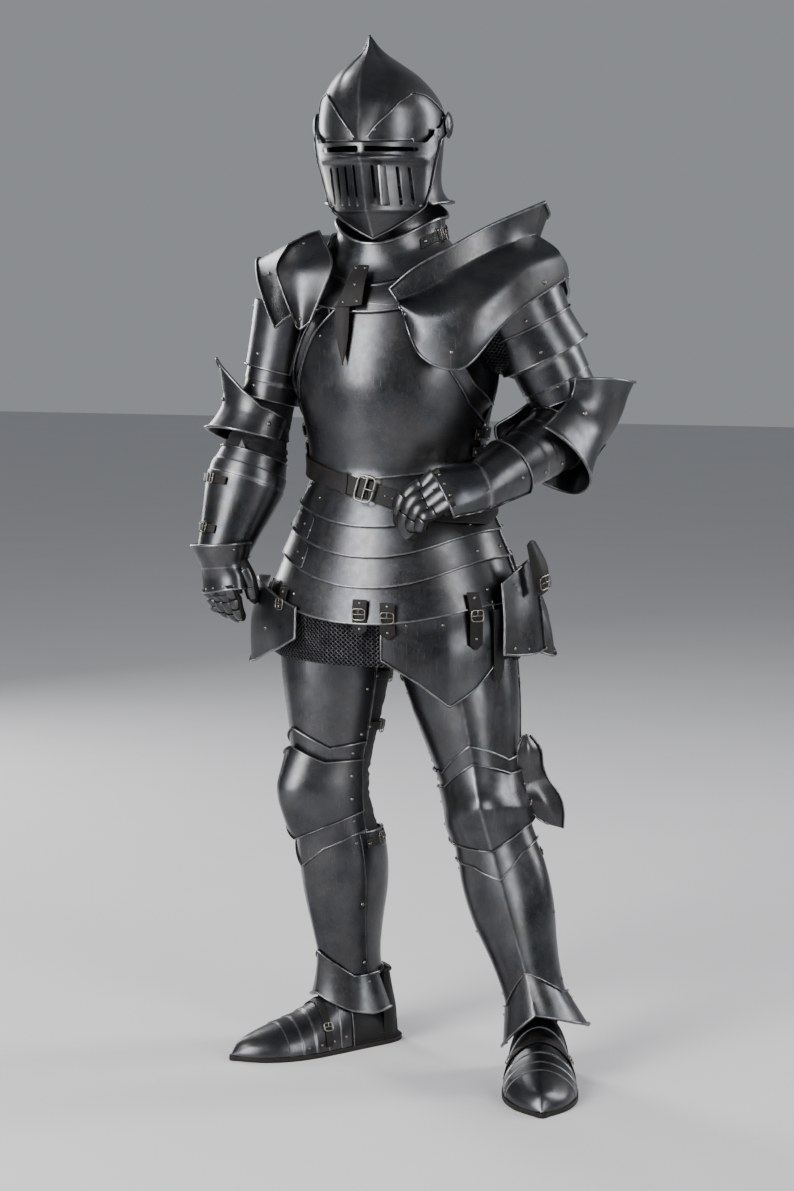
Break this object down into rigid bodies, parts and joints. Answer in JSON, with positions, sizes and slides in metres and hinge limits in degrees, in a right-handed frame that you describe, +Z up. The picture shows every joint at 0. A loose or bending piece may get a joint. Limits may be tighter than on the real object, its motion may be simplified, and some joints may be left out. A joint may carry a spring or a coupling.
{
  "type": "suit of plate armour",
  "caption": "Full plate harness in blackened steel, worn standing: closed helmet with pivoting visor, gorget, cuirass, fauld, tassets, plated arms, gauntlets, leg plates and sabatons.",
  "frame": {"origin": "base of the wearer's neck, 1.47 m above the soles, on the line midway between the feet", "axes": "+Z up, -Y the way the suit faces, +X towards the wearer's left"},
  "size_m": [0.8017, 0.5089, 1.878],
  "materials": {
    "steel": "blackened and satin polished",
    "mail": "dark riveted mail",
    "leather": "dark brown, matt",
    "cloth": "black padded cloth"
  },
  "bodies": {
    "harness": {"breastplate": "steel", "gusset_left": "steel", "gusset_right": "steel", "backplate": "steel", "fauld_1": "steel", "fauld_2": "steel", "fauld_3": "steel", "fauld_4": "steel", "waist_belt": "leather", "gorget_front": "steel", "gorget_back": "steel", "pauldron_left": "steel", "pauldron_right": "steel", "shoulder_flap_right": "steel", "pauldron_lame_left_1": "steel", "pauldron_lame_left_2": "steel", "rerebrace_left": "steel", "pauldron_lame_right": "steel", "rerebrace_right": "steel", "couter_left": "steel", "vambrace_left": "steel", "sleeve_left": "mail", "couter_right": "steel", "vambrace_right": "steel", "sleeve_right": "cloth", "glove_left": "leather", "gauntlet_left": "steel", "finger_plates_left": "steel", "glove_right": "leather", "gauntlet_right": "steel", "finger_plates_right": "steel", "helmet_skull": "steel", "helmet_brow": "steel", "roundel_left": "steel", "roundel_right": "steel", "greave_back_left": "steel", "greave_front_left": "steel", "ankle_plate_left": "steel", "cuisse_left": "steel", "poleyn_lower_left": "steel", "poleyn_upper_left": "steel", "poleyn_left": "steel", "hose_left": "cloth", "greave_back_right": "steel", "greave_front_right": "steel", "ankle_plate_right": "steel", "cuisse_right": "steel", "poleyn_lower_right": "steel", "poleyn_upper_right": "steel", "poleyn_right": "steel", "hose_right": "cloth", "sabaton_left": "steel", "shoe_left": "leather", "sabaton_right": "steel", "shoe_right": "leather", "mail_skirt": "mail", "tasset_left": "steel", "tasset_left_side": "steel", "tasset_right": "steel"},
    "visor": {"visor": "steel"}
  },
  "joints": [
    {"name": "visor_pivot", "type": "hinge", "parent": "harness", "child": "visor", "pos_m": [-0.024, -0.009, 0.245], "axis": [-0.9925, -0.1219, 0], "range_deg": [0, 60]}
  ]
}
